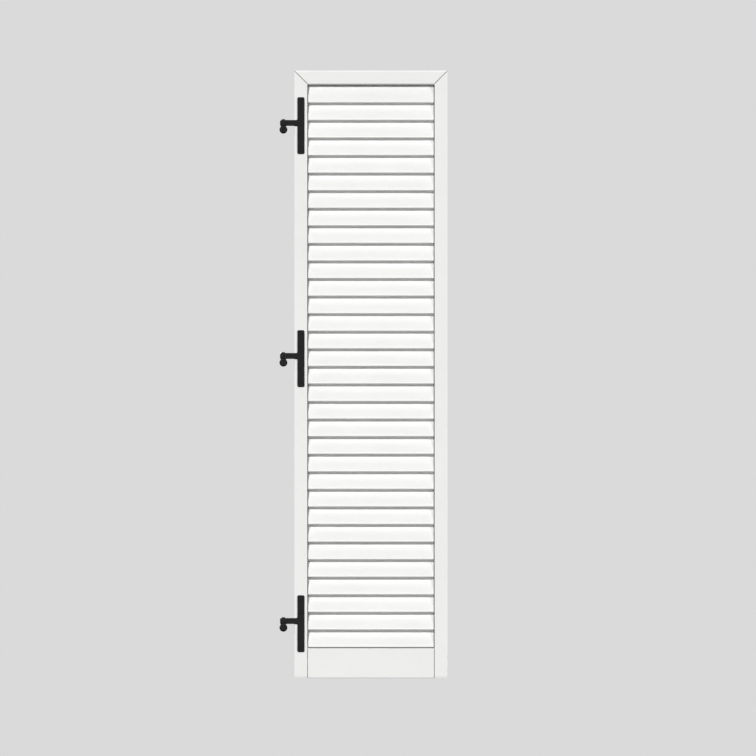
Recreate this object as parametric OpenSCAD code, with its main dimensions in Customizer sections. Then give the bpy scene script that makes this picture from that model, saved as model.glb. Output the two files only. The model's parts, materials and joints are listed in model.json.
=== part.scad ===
// Louvred shutter leaf of hollow aluminium profiles, hung on three wall pintles.
// X runs across the leaf, Y runs back into the wall and Z is up. The origin is
// where the lowest pintle's shank enters the wall, and the wall's face is y = 0.

/* [Leaf] */
// Width of the leaf
leaf_w = 540; // [420:1:660]
// Height of the leaf
leaf_h = 2140; // [1700:1:2400]
// Thickness of the leaf
leaf_d = 45; // [42:0.5:56]
// Face width of the stiles and of the top rail, which share one profile
stile_w = 46; // [38:0.5:60]
// Height of the bottom rail
bottom_rail_h = 105; // [85:1:140]
// Outer walls of the frame profiles
profile_wall = 1.8; // [1.4:0.1:2.4]
// Webs inside the frame profiles
web_wall = 1.5; // [1.2:0.1:2.2]
// Rounding along the outer edges of the frame profiles
profile_edge_r = 2; // [0.5:0.1:3]
// Clear width of the stile chamber that takes the slat pegs
peg_chamber_w = 8.7; // [7:0.1:12]

/* [Slats] */
// Number of slats
slat_count = 32; // [29:1:33]
// Width of a slat from tip to tip
slat_chord = 74; // [62:0.5:77]
// Greatest thickness of a slat
slat_t = 10; // [8:0.25:12]
// Rounding of the slat's two long edges
slat_tip_r = 2.5; // [2.2:0.1:3]
// Wall of the hollow slat
slat_wall = 1.3; // [1:0.1:1.6]
// Rib across the middle of the hollow slat
slat_rib = 1.3; // [1:0.1:2]
// Lean of the slats from upright, with the lower edge to the front
slat_tilt = 30; // [28:1:34]
// Gap between the bottom rail and the lowest slat
slat_gap_bottom = 3; // [1:0.5:6]
// Gap between the highest slat and the top rail
slat_gap_top = 2; // [1:0.5:6]

/* [Slat end caps] */
// Thickness of the flange between the slat and the stile
cap_flange_t = 3; // [1.5:0.1:4]
// Length of the two plugs inside the slat
cap_plug_len = 12; // [6:0.5:20]
// Gap around a plug
cap_plug_fit = 0.15; // [0.05:0.05:0.3]
// Diameter of the pegs that enter the stile
cap_peg_d = 6; // [4:0.1:7]
// Reach of the pegs from the flange
cap_peg_len = 8; // [5:0.1:8.4]
// Distance between the two pegs of a cap
cap_peg_pitch = 36; // [30:1:44]

/* [Straps] */
// Thickness of a strap
strap_t = 5; // [4:0.25:6]
// Width of the strap's upright plate
strap_w = 25; // [20:0.5:30]
// Height of the strap's upright plate
strap_h = 200; // [165:1:240]
// Rounding of the plate's corners
strap_corner_r = 5; // [2:0.5:8]
// Height of the arm and of the eye
arm_h = 21; // [18:0.5:25]
// Rise of the arm's middle above the middle of the plate
arm_rise = 9; // [0:0.5:20]
// Fillets where the arm leaves the plate
arm_fillet_r = 4; // [2:0.5:8]
// Outer diameter of the eye
eye_d = 24; // [22:0.5:30]
// Rounding of the eye's edges
eye_edge_r = 4; // [1:0.5:4]
// Height of the lowest arm's middle above the foot of the leaf
bottom_arm_z = 201; // [180:1:260]
// Height of the middle arm above the foot of the leaf
middle_arm_z = 1135; // [900:1:1300]
// Distance from the top of the leaf down to the highest arm's middle
top_arm_drop = 184; // [165:1:240]

/* [Strap fixing] */
// Distance from the middle of the plate to the inner screws
strap_screw_inner = 35; // [25:1:45]
// Distance from the ends of the plate to the outer screws
strap_screw_end = 20; // [12:1:30]
// Diameter of the strap screws
strap_screw_d = 6; // [5:0.1:6.5]
// Length of the strap screws
strap_screw_len = 16; // [14:0.5:20]
// Thickness of the threaded plates inside the stile
backing_t = 5; // [4:0.25:6]
// Height that a backing plate stops short of the strap at each end
backing_inset = 8; // [4:0.5:11]

/* [Hinge] */
// Distance from the hinge axis to the edge of the leaf
hinge_reach = 38.5; // [32:0.5:46]
// Distance from the hinge axis back to the front face of the leaf
axis_to_face = 3; // [2.5:0.1:4]
// Diameter of the pintle's pin
pin_d = 12; // [10:0.1:12.5]
// Wall of the bush in the eye
bush_wall = 1.5; // [1:0.1:1.8]
// Thickness of the bush's flange below the eye
bush_flange_t = 2; // [1.5:0.1:3]
// Diameter of the bush's flange
bush_flange_d = 21; // [18:0.1:22]
// Radial clearance between the pin and its bush
pin_fit = 0.06; // [0.02:0.01:0.09]
// Gap between the bush's flange and the pintle's shoulder
shoulder_gap = 0.2; // [0.1:0.05:0.4]

/* [Wall fixing] */
// Distance from the hinge axis back to the wall
axis_to_wall = 25; // [24:0.5:34]
// Diameter of the threaded shank in front of the wall
shank_d = 14; // [12:0.1:14.5]
// Diameter of the plain tail that is set in the wall
tail_d = 13; // [11:0.1:13.5]
// Length of the tail
tail_len = 75; // [50:1:120]
// Diameter of the pintle's boss
boss_d = 18; // [16:0.5:20]
// Height of the shoulder above the shank
boss_rise = 4; // [3.5:0.1:8]
// Depth of the boss below the shank's middle
boss_drop = 11; // [10.5:0.1:14]
// Height of the pin above the eye
pin_show = 3; // [2:0.1:6]
// Width across the flats of the nut
nut_af = 22; // [21:0.1:24]
// Thickness of the nut
nut_t = 11; // [8:0.1:11.5]
// Diameter of the washer
washer_d = 28; // [26:0.1:34]
// Thickness of the washer
washer_t = 2.5; // [1.5:0.1:2.5]

/* [Joinery] */
// Reach of the corner cleats' legs beyond the width of the stile
cleat_reach = 34; // [28:1:50]
// Walls of the corner cleats
cleat_wall = 4; // [3:0.1:6]
// Gap between a cleat and the chamber around it
cleat_fit = 0.3; // [0.1:0.05:0.5]
// Diameter of the pins through the cleats
cleat_pin_d = 5; // [4:0.1:6]
// Length of the pins through the cleats
cleat_pin_len = 16; // [10:0.5:24]
// Diameter of the screws that hold the bottom rail
rail_screw_d = 6; // [5:0.1:7]
// Length of those screws inside the bottom rail
rail_screw_bite = 48; // [30:1:70]
// Diameter of those screws' pan heads
rail_head_d = 11; // [10:0.1:12]
// Height of those screws' pan heads
rail_head_t = 3.6; // [2.5:0.1:4.5]
// Wall of the ports that the screws cut their thread in
port_wall = 2.5; // [1.5:0.1:3]
// Height of each row of rail screws from the rail's nearer edge
rail_screw_inset = 30; // [24:1:34]
// Diameter of the holes that let those screws in
access_d = 13; // [12.5:0.1:16]
// Thickness of the foot caps' flanges
foot_flange_t = 2; // [1.5:0.1:3]
// Reach of the foot caps into the stiles
foot_plug_len = 14; // [8:0.5:20]

/* [Hidden] */
$fn = 64;

// Clearance around a screw, peg or pin in its hole
hole_fit = 0.1;
// Clearance in a screw's own thread
thread_fit = 0.05;
// Clearance between the shank and its washer
washer_fit = 0.4;
// Overshoot of a cutting tool beyond the face it cuts
over = 1;
// Gap beside a backing plate in the stile's chamber
backing_gap = 1;
// A slat's faces are shallow arcs, so their circles take more segments
arc_fn = 720;

// The leaf's sides, faces and foot in the part's frame
leaf_x = hinge_reach;
leaf_front = axis_to_face - axis_to_wall;
leaf_mid_y = leaf_front + leaf_d / 2;
pin_base_z = shank_d / 2 + boss_rise;
eye_z = pin_base_z + shoulder_gap + bush_flange_t;
leaf_foot = eye_z + arm_h / 2 - bottom_arm_z;
leaf_top = leaf_foot + leaf_h;

// The opening between the stiles and the rails
inner_x = leaf_x + stile_w;
inner_w = leaf_w - 2 * stile_w;
inner_foot = leaf_foot + bottom_rail_h;
inner_top = leaf_top - stile_w;

// The profile's chambers, measured from the outer edge
web_x = stile_w - profile_wall - peg_chamber_w - web_wall;
chamber_w = web_x - profile_wall;
chamber_d = leaf_d - 2 * profile_wall;

// The slat's section: its tips' centres and the radius of its faces
tip_reach = slat_chord / 2 - slat_tip_r;
face_r = (pow(tip_reach, 2) + pow(slat_t / 2, 2) - pow(slat_tip_r, 2)) / (slat_t - 2 * slat_tip_r);
slat_rise = 2 * (tip_reach * cos(slat_tilt) + slat_tip_r);
slat_len = inner_w - 2 * cap_flange_t;
first_slat_z = inner_foot + slat_gap_bottom + slat_rise / 2;
last_slat_z = inner_top - slat_gap_top - slat_rise / 2;
slat_pitch = (last_slat_z - first_slat_z) / (slat_count - 1);

// The hinge's heights, each the middle of an arm
arm_heights = [leaf_foot + bottom_arm_z, leaf_foot + middle_arm_z, leaf_top - top_arm_drop];
arm_drop = eye_z + arm_h / 2;
strap_x = leaf_x + stile_w / 2;
strap_front = leaf_front - strap_t;
strap_screw_outer = strap_h / 2 - strap_screw_end;
strap_screw_offsets = [-strap_screw_outer, -strap_screw_inner, strap_screw_inner, strap_screw_outer];
screw_head_d = 2 * strap_screw_d;
bush_d = pin_d + 2 * bush_wall;
backing_w = 2 * (web_x - stile_w / 2 - backing_gap);

// The rail screws' heights
rail_screw_heights = [leaf_foot + rail_screw_inset, inner_foot - rail_screw_inset];

function slat_name(i) = str("slat_", i < 10 ? "0" : "", i);
function slat_z(i) = first_slat_z + (i - 1) * slat_pitch;

// ---- Shapes that several pieces share ----

// Rectangle with rounded corners, from the origin
module rounded_rect(size, r) {
    translate([r, 0]) square([size[0] - 2 * r, size[1]]);
    translate([0, r]) square([size[0], size[1] - 2 * r]);
    for (x = [r, size[0] - r], y = [r, size[1] - r]) translate([x, y]) circle(r);
}

// Turns a flat outline so that its x lies along Y, its y along Z and its length along X
module along_x(length) {
    rotate([90, 0, 90]) linear_extrude(length) children();
}

// Turns a flat outline in X and Z so that its length lies along Y
module along_y(length) {
    translate([0, length, 0]) rotate([90, 0, 0]) linear_extrude(length) children();
}

// Cylinder along X from the origin
module rod_x(d, length) {
    rotate([0, 90, 0]) cylinder(d = d, h = length);
}

// Cylinder along Y from the origin
module rod_y(d, length) {
    rotate([-90, 0, 0]) cylinder(d = d, h = length);
}

// Repeats a left-hand piece on the right-hand side of the leaf
module on_right() {
    translate([2 * leaf_x + leaf_w, 0, 0]) mirror([1, 0, 0]) children();
}

// ---- Frame ----

// Section shared by the stiles and the top rail, with its outer edge at x = 0
module stile_section() {
    difference() {
        rounded_rect([stile_w, leaf_d], profile_edge_r);
        translate([profile_wall, profile_wall]) square([chamber_w, chamber_d]);
        translate([web_x + web_wall, profile_wall]) square([peg_chamber_w, chamber_d]);
    }
}

// Everything beyond the mitre plane of the top left corner, on the rail's side
module mitre_cut() {
    side = 4 * stile_w;
    translate([leaf_x, leaf_front - over, leaf_top])
        rotate([0, 45, 0]) translate([-side / 2, 0, 0]) cube([side, leaf_d + 2 * over, side]);
}

// Holes through the stile's inner wall for the pegs of every slat cap
module peg_holes() {
    for (i = [1 : slat_count]) slat_at(i)
        for (v = [-1, 1]) translate([inner_x - profile_wall - over, 0, v * cap_peg_pitch / 2])
            rod_x(cap_peg_d + 2 * hole_fit, profile_wall + 2 * over);
}

// Holes for the rail screws: wide at the outer edge, close at the web and the inner wall
module rail_screw_holes() {
    for (z = rail_screw_heights) translate([leaf_x - over, leaf_mid_y, z]) {
        rod_x(access_d, profile_wall + 2 * over);
        rod_x(rail_screw_d + 2 * hole_fit, stile_w + 2 * over);
    }
}

// Holes through the back wall for the pins that lock a left corner's two profiles
module cleat_pin_holes(length) {
    for (at = cleat_pin_places()) translate([at[0], leaf_front + leaf_d - length, at[1]])
        rod_y(cleat_pin_d + 2 * hole_fit, length + over);
}

// A left corner's two pins in X and Z, one in each profile and level with the inner corner
function cleat_pin_places() = let (mid = (profile_wall + web_x) / 2) [
    [leaf_x + mid, leaf_top - stile_w],
    [leaf_x + stile_w, leaf_top - mid]
];

// A left-hand stile, standing on its foot cap and mitred at the top
module stile() {
    difference() {
        translate([leaf_x, leaf_front, leaf_foot + foot_flange_t])
            linear_extrude(leaf_h - foot_flange_t) stile_section();
        mitre_cut();
        peg_holes();
        rail_screw_holes();
        cleat_pin_holes(profile_wall + over);
    }
}

module hinge_stile() {
    color("white") difference() {
        stile();
        for (z = arm_heights, dz = strap_screw_offsets)
            translate([strap_x, leaf_front - over, z - arm_rise + dz])
                rod_y(strap_screw_d + 2 * hole_fit, profile_wall + 2 * over);
    }
}

module closing_stile() {
    color("white") on_right() stile();
}

module top_rail() {
    color("white") difference() {
        translate([leaf_x, leaf_front, leaf_top]) rotate([0, 90, 0])
            linear_extrude(leaf_w) stile_section();
        stile_side_of_mitre();
        on_right() stile_side_of_mitre();
        cleat_pin_holes(profile_wall + over);
        on_right() cleat_pin_holes(profile_wall + over);
    }
}

// Everything on the stile's side of the top left mitre plane
module stile_side_of_mitre() {
    side = 4 * stile_w;
    translate([leaf_x, leaf_front - over, leaf_top])
        rotate([0, 45, 0]) translate([-side / 2, 0, -side]) cube([side, leaf_d + 2 * over, side]);
}

// The bottom rail's section: three chambers, with a screw port in the middle of each web
module bottom_rail_section() {
    web_heights = [rail_screw_inset, bottom_rail_h - rail_screw_inset];
    difference() {
        rounded_rect([leaf_d, bottom_rail_h], profile_edge_r);
        difference() {
            translate([profile_wall, profile_wall]) square([chamber_d, bottom_rail_h - 2 * profile_wall]);
            for (z = web_heights) {
                translate([0, z - web_wall / 2]) square([leaf_d, web_wall]);
                translate([leaf_d / 2, z]) circle(d = rail_screw_d + 2 * port_wall);
            }
        }
        for (z = web_heights) translate([leaf_d / 2, z]) circle(d = rail_screw_d + 2 * thread_fit);
    }
}

module bottom_rail() {
    color("white") translate([inner_x, leaf_front, leaf_foot]) along_x(inner_w) bottom_rail_section();
}

// ---- Slats ----

// A slat's outline, or its hollow when shrunk: two shallow arcs that meet in round tips
module slat_outline(shrink = 0) {
    tip_r = slat_tip_r - shrink;
    arc_r = face_r - shrink;
    arc_y = face_r - slat_t / 2;
    tangent_x = tip_reach * arc_r / (arc_r - tip_r);
    intersection() {
        translate([arc_y, 0]) circle(arc_r, $fn = arc_fn);
        translate([-arc_y, 0]) circle(arc_r, $fn = arc_fn);
        translate([-slat_t / 2, -tangent_x]) square([slat_t, 2 * tangent_x]);
    }
    for (v = [-1, 1]) translate([0, v * tip_reach]) circle(tip_r);
}

// The slat's two hollows, one on each side of the rib
module slat_hollows(gap = 0) {
    difference() {
        slat_outline(slat_wall + gap);
        translate([-slat_t / 2, -slat_rib / 2 - gap]) square([slat_t, slat_rib + 2 * gap]);
    }
}

// Places a piece at a slat's middle height and leans it as the slat leans
module slat_at(i) {
    translate([0, leaf_mid_y, slat_z(i)]) rotate([-slat_tilt, 0, 0]) children();
}

module slat(i) {
    color("white") slat_at(i) translate([inner_x + cap_flange_t, 0, 0]) along_x(slat_len)
        difference() {
            slat_outline();
            slat_hollows();
        }
}

// A left-hand cap: a flange, two plugs inside the slat and two pegs inside the stile
module slat_cap() {
    along_x(cap_flange_t) slat_outline();
    translate([cap_flange_t, 0, 0]) along_x(cap_plug_len) slat_hollows(cap_plug_fit);
    for (v = [-1, 1]) translate([-cap_peg_len, 0, v * cap_peg_pitch / 2]) rod_x(cap_peg_d, cap_peg_len);
}

module left_slat_caps() {
    color("#202020") for (i = [1 : slat_count]) slat_at(i) translate([inner_x, 0, 0]) slat_cap();
}

module right_slat_caps() {
    on_right() left_slat_caps();
}

// ---- Corner joints ----

// A corner cleat's outline in X and Z, with its outer corner at the origin and its legs
// along +X and +Z. Each leg has a window near its end and a solid lug for its pin
module cleat_outline() {
    leg_w = chamber_w - 2 * cleat_fit;
    reach = stile_w + cleat_reach - profile_wall - cleat_fit;
    window = leg_w - 2 * cleat_wall;
    window_at = stile_w - profile_wall + cleat_pin_d + cleat_wall;
    difference() {
        union() {
            square([reach, leg_w]);
            square([leg_w, reach]);
        }
        translate([cleat_wall, cleat_wall]) square([window, window]);
        translate([window_at, cleat_wall]) square([reach - cleat_wall - window_at, window]);
        translate([cleat_wall, window_at]) square([window, reach - cleat_wall - window_at]);
    }
}

module corner_cleat() {
    inset = profile_wall + cleat_fit;
    difference() {
        translate([leaf_x + inset, leaf_front + inset, leaf_top - inset]) mirror([0, 0, 1])
            along_y(leaf_d - 2 * inset) cleat_outline();
        cleat_pin_holes(cleat_pin_len + over);
    }
}

module left_corner_cleat() {
    color("silver") corner_cleat();
}

module right_corner_cleat() {
    color("silver") on_right() corner_cleat();
}

// The pins of a left-hand corner, flush with the back of the leaf
module corner_pins() {
    for (at = cleat_pin_places()) translate([at[0], leaf_front + leaf_d - cleat_pin_len, at[1]])
        rod_y(cleat_pin_d, cleat_pin_len);
}

module cleat_pins() {
    color("silver") {
        corner_pins();
        on_right() corner_pins();
    }
}

// ---- Bottom rail fixing and feet ----

// The screws of the left-hand side, with pan heads that bear on the stile's web
module side_screws() {
    for (z = rail_screw_heights) translate([leaf_x + web_x, leaf_mid_y, z]) {
        translate([-rail_head_t, 0, 0]) rod_x(rail_head_d, rail_head_t);
        rod_x(rail_screw_d, stile_w - web_x + rail_screw_bite);
    }
}

module rail_screws() {
    color("silver") {
        side_screws();
        on_right() side_screws();
    }
}

// The plugs of the left-hand side, each a thin flange with a short body in the access hole
module side_plugs() {
    flange_t = 1.2;
    flange_lap = 1.5;
    body_len = 6;
    for (z = rail_screw_heights) translate([leaf_x, leaf_mid_y, z]) {
        translate([-flange_t, 0, 0]) rod_x(access_d + 2 * flange_lap, flange_t);
        rod_x(access_d - 2 * hole_fit, body_len);
    }
}

module hole_plugs() {
    color("white") {
        side_plugs();
        on_right() side_plugs();
    }
}

// A left-hand foot cap: a flange as wide as the stile and a hollow plug in its chamber
module foot_cap() {
    fit = 0.2;
    wall = 2;
    plug = [chamber_w - 2 * fit, chamber_d - 2 * fit];
    translate([leaf_x, leaf_front, leaf_foot]) {
        linear_extrude(foot_flange_t) rounded_rect([stile_w, leaf_d], profile_edge_r);
        translate([profile_wall + fit, profile_wall + fit, foot_flange_t])
            linear_extrude(foot_plug_len) difference() {
                square(plug);
                translate([wall, wall]) square([plug[0] - 2 * wall, plug[1] - 2 * wall]);
            }
    }
}

module left_foot_cap() {
    color("white") foot_cap();
}

module right_foot_cap() {
    color("white") on_right() foot_cap();
}

// ---- Straps and their fixing ----

// A strap's flat outline in X and Z around the middle of its arm, from the hinge axis
module strap_outline() {
    plate_left = strap_x - strap_w / 2;
    translate([plate_left, -arm_rise - strap_h / 2]) rounded_rect([strap_w, strap_h], strap_corner_r);
    translate([0, -arm_h / 2]) square([strap_x, arm_h]);
    for (v = [-1, 1]) translate([plate_left, v * arm_h / 2]) scale([1, v]) difference() {
        translate([-arm_fillet_r, 0]) square(arm_fillet_r);
        translate([-arm_fillet_r, arm_fillet_r]) circle(arm_fillet_r);
    }
}

// The eye's body of revolution about the hinge axis, before its bore
module eye_body() {
    rotate_extrude() intersection() {
        translate([-eye_d / 2, -arm_h / 2]) rounded_rect([eye_d, arm_h], eye_edge_r);
        translate([0, -arm_h / 2]) square([eye_d / 2, arm_h]);
    }
}

// A countersunk screw along Y, with the flat of its head at the origin. A positive gap
// makes the hole that it fits, with room past its head and its tip
module countersunk_screw(length, gap = 0) {
    head_t = (screw_head_d - strap_screw_d) / 2;
    rotate([-90, 0, 0]) {
        cylinder(d1 = screw_head_d + 2 * gap, d2 = strap_screw_d + 2 * gap, h = head_t);
        cylinder(d = strap_screw_d + 2 * gap, h = length);
        if (gap > 0) translate([0, 0, -over]) cylinder(d = screw_head_d + 2 * gap, h = over);
    }
}

module strap(z) {
    color("#1c1c1c") difference() {
        union() {
            translate([0, strap_front, z]) along_y(strap_t) strap_outline();
            translate([0, -axis_to_wall, z]) eye_body();
        }
        translate([0, -axis_to_wall, z - arm_h / 2 - over])
            cylinder(d = bush_d + 2 * thread_fit, h = arm_h + 2 * over);
        for (dz = strap_screw_offsets) translate([strap_x, strap_front, z - arm_rise + dz])
            countersunk_screw(strap_t + over, hole_fit);
    }
}

module strap_screws() {
    color("#1c1c1c") for (z = arm_heights, dz = strap_screw_offsets)
        translate([strap_x, strap_front, z - arm_rise + dz]) countersunk_screw(strap_screw_len);
}

module backing_plate(z) {
    plate_h = strap_h - 2 * backing_inset;
    color("silver") translate([strap_x, leaf_front + profile_wall, z - arm_rise]) difference() {
        translate([-backing_w / 2, 0, -plate_h / 2]) cube([backing_w, backing_t, plate_h]);
        for (dz = strap_screw_offsets) translate([0, -over, dz])
            rod_y(strap_screw_d + 2 * thread_fit, backing_t + 2 * over);
    }
}

// Flanged bushes, pressed up into the eyes from below
module eye_bushes() {
    color("#303030") for (z = arm_heights) translate([0, -axis_to_wall, z - arm_h / 2]) difference() {
        union() {
            cylinder(d = bush_d, h = arm_h);
            translate([0, 0, -bush_flange_t]) cylinder(d = bush_flange_d, h = bush_flange_t);
        }
        translate([0, 0, -bush_flange_t - over])
            cylinder(d = pin_d + 2 * pin_fit, h = arm_h + bush_flange_t + 2 * over);
    }
}

// ---- Pintles and their wall fixing ----

// Half of the boss and pin's outline about the hinge axis, from the shank's middle height
module pin_outline() {
    boss_edge_r = 3;
    bevel = 1.5;
    pin_top = arm_drop + arm_h / 2 + pin_show;
    intersection() {
        translate([-boss_d / 2, -boss_drop])
            rounded_rect([boss_d, boss_drop + pin_base_z + boss_edge_r], boss_edge_r);
        translate([0, -boss_drop]) square([boss_d / 2, boss_drop + pin_base_z]);
    }
    polygon([
        [0, 0],
        [pin_d / 2, 0],
        [pin_d / 2, pin_top - bevel],
        [pin_d / 2 - bevel, pin_top],
        [0, pin_top]
    ]);
}

// A pintle: a pin on a boss, and a shank from the boss that narrows to a tail in the wall
module pintle(z) {
    bevel = 1.5;
    color("#1c1c1c") translate([0, -axis_to_wall, z - arm_drop]) {
        rotate_extrude() pin_outline();
        rod_y(shank_d, axis_to_wall);
        translate([0, axis_to_wall, 0]) rod_y(tail_d, tail_len - bevel);
        translate([0, axis_to_wall + tail_len - bevel, 0]) rotate([-90, 0, 0])
            cylinder(d1 = tail_d, d2 = tail_d - 2 * bevel, h = bevel);
    }
}

module wall_nuts() {
    color("#1c1c1c") for (z = arm_heights) translate([0, -washer_t - nut_t, z - arm_drop]) difference() {
        rotate([-90, 0, 0]) cylinder(d = nut_af / cos(30), h = nut_t, $fn = 6);
        translate([0, -over, 0]) rod_y(shank_d + 2 * thread_fit, nut_t + 2 * over);
    }
}

module wall_washers() {
    color("#1c1c1c") for (z = arm_heights) translate([0, -washer_t, z - arm_drop]) difference() {
        rod_y(washer_d, washer_t);
        translate([0, -over, 0]) rod_y(shank_d + 2 * washer_fit, washer_t + 2 * over);
    }
}

// ---- The whole shutter ----

hinge_stile();
closing_stile();
top_rail();
bottom_rail();
for (i = [1 : slat_count]) slat(i);
left_slat_caps();
right_slat_caps();
left_corner_cleat();
right_corner_cleat();
cleat_pins();
rail_screws();
hole_plugs();
left_foot_cap();
right_foot_cap();
strap(arm_heights[0]);  // bottom_strap
strap(arm_heights[1]);  // middle_strap
strap(arm_heights[2]);  // top_strap
strap_screws();
backing_plate(arm_heights[0]);  // bottom_backing_plate
backing_plate(arm_heights[1]);  // middle_backing_plate
backing_plate(arm_heights[2]);  // top_backing_plate
eye_bushes();
pintle(arm_heights[0]);  // bottom_pintle
pintle(arm_heights[1]);  // middle_pintle
pintle(arm_heights[2]);  // top_pintle
wall_nuts();
wall_washers();
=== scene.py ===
import json
import math
import bmesh
import bpy
from mathutils import Matrix, Vector

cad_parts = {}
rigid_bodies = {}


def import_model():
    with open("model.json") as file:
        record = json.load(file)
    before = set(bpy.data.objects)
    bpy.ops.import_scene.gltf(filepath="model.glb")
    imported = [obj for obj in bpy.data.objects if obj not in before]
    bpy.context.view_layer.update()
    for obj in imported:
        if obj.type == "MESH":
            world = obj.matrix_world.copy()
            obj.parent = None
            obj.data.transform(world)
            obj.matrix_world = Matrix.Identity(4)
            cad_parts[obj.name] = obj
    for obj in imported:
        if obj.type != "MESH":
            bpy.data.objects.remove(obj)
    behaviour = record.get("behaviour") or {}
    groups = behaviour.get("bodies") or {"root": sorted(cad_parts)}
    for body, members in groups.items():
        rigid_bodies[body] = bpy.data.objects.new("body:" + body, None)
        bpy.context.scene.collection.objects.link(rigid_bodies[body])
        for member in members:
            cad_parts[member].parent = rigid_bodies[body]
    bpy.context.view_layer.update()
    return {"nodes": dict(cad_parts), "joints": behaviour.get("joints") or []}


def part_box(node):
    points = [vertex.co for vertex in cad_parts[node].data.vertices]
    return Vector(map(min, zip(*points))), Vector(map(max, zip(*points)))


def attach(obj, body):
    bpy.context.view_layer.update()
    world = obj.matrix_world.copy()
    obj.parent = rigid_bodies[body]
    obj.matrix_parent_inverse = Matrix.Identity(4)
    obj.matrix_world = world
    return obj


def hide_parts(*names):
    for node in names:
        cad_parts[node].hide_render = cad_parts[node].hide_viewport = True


for leftover in list(bpy.data.objects):
    bpy.data.objects.remove(leftover)
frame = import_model()
scene = bpy.context.scene

# ---- Studio ---------------------------------------------------------------
# A pale floor below the hanging leaf and a pale room all round it, with soft
# lamps in front, behind, at both sides and above. The camera looks square on
# at the leaf, as a front elevation does.

leaf_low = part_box("hinge_stile")[0]
leaf_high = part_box("closing_stile")[1]
leaf_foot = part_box("left_foot_cap")[0].z
leaf_top = leaf_high.z
leaf_middle = Vector(((leaf_low.x + leaf_high.x) / 2, leaf_low.y, (leaf_foot + leaf_top) / 2))

view_height = 2.664
view_offset = Vector((0.0248, 0, -0.0127))
camera_distance = 5.0
camera = bpy.data.objects.new("camera", bpy.data.cameras.new("camera"))
scene.collection.objects.link(camera)
camera.data.type = "ORTHO"
camera.data.ortho_scale = view_height
camera.location = leaf_middle + view_offset + Vector((0, -camera_distance, 0))
camera.rotation_euler = (math.radians(90), 0, 0)
scene.camera = camera

floor_reach = 30
floor_drop = 0.32
floor_colour = (0.66, 0.66, 0.66, 1)
floor_roughness = 0.9
floor_corners = ((-1, -1), (1, -1), (1, 1), (-1, 1))
floor_mesh = bpy.data.meshes.new("floor")
floor_mesh.from_pydata(
    [(x * floor_reach, y * floor_reach, leaf_foot - floor_drop) for x, y in floor_corners],
    [],
    [(0, 1, 2, 3)],
)
floor = bpy.data.objects.new("floor", floor_mesh)
scene.collection.objects.link(floor)
floor_finish = bpy.data.materials.new("studio_floor")
floor_finish.use_nodes = True
floor_shader = floor_finish.node_tree.nodes["Principled BSDF"]
floor_shader.inputs["Base Color"].default_value = floor_colour
floor_shader.inputs["Roughness"].default_value = floor_roughness
floor.data.materials.append(floor_finish)
# The floor takes shadows, but throws no light up between the slats.
floor.visible_diffuse = False
floor.visible_glossy = False

# The room looks pale but lights the leaf only a little, so the gaps between slats stay dark.
wall_colour = (0.70, 0.70, 0.70, 1)
room_light_colour = (0.96, 0.98, 1, 1)
room_light_strength = 0.05
scene.view_settings.view_transform = "Standard"
room = bpy.data.worlds.new("room")
room.use_nodes = True
room_tree = room.node_tree
room_light = room_tree.nodes["Background"]
room_light.inputs["Color"].default_value = room_light_colour
room_light.inputs["Strength"].default_value = room_light_strength
room_wall = room_tree.nodes.new("ShaderNodeBackground")
room_wall.inputs["Color"].default_value = wall_colour
is_seen = room_tree.nodes.new("ShaderNodeLightPath").outputs["Is Camera Ray"]
seen_or_lit = room_tree.nodes.new("ShaderNodeMixShader")
room_tree.links.new(is_seen, seen_or_lit.inputs[0])
room_tree.links.new(room_light.outputs[0], seen_or_lit.inputs[1])
room_tree.links.new(room_wall.outputs[0], seen_or_lit.inputs[2])
room_tree.links.new(seen_or_lit.outputs[0], room_tree.nodes["World Output"].inputs["Surface"])
scene.world = room


def far_lamp(name, azimuth, elevation, softness, power):
    """A lamp so far off that its light falls evenly over the leaf. Angles and softness are in
    degrees, and azimuth 0 is straight in front."""
    lamp = bpy.data.lights.new(name, "SUN")
    lamp.energy = power
    lamp.angle = math.radians(softness)
    holder = bpy.data.objects.new(name, lamp)
    scene.collection.objects.link(holder)
    a, e = math.radians(azimuth), math.radians(elevation)
    away = Vector((math.sin(a) * math.cos(e), -math.cos(a) * math.cos(e), math.sin(e)))
    holder.location = leaf_middle + away * camera_distance
    holder.rotation_mode = "QUATERNION"
    holder.rotation_quaternion = away.to_track_quat("Z", "Y")


far_lamp("key_lamp", -17, 20, 4, 2.42)
far_lamp("fill_lamp", 30, 18, 8, 1.0)
far_lamp("back_lamp", 195, 16, 6, 1.75)
far_lamp("left_lamp", -90, 12, 8, 1.2)
far_lamp("right_lamp", 90, 12, 8, 1.6)
far_lamp("top_lamp", 0, 90, 8, 1.3)

# ---- Stiles and top rail --------------------------------------------------
# One extruded aluminium profile with rounded edges makes both stiles and the
# top rail, under white satin powder coat. The two top corners are sawn at 45
# degrees and their cut edges are eased, so each mitre shows as a fine dark V.

def shader_group(name, inputs, outputs):
    """An empty shader node group with the named float inputs and outputs."""
    group = bpy.data.node_groups.new(name, "ShaderNodeTree")
    for label, value in inputs.items():
        socket = group.interface.new_socket(name=label, in_out="INPUT", socket_type="NodeSocketFloat")
        socket.default_value = value
    for label in outputs:
        group.interface.new_socket(name=label, in_out="OUTPUT", socket_type="NodeSocketFloat")
    return group, group.nodes.new("NodeGroupInput"), group.nodes.new("NodeGroupOutput")


def math_node(tree, operation, a, b):
    """A math node whose two terms are numbers or sockets."""
    node = tree.nodes.new("ShaderNodeMath")
    node.operation = operation
    for socket, term in zip(node.inputs, (a, b)):
        if isinstance(term, (int, float)):
            socket.default_value = term
        else:
            tree.links.new(term, socket)
    return node.outputs[0]


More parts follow.
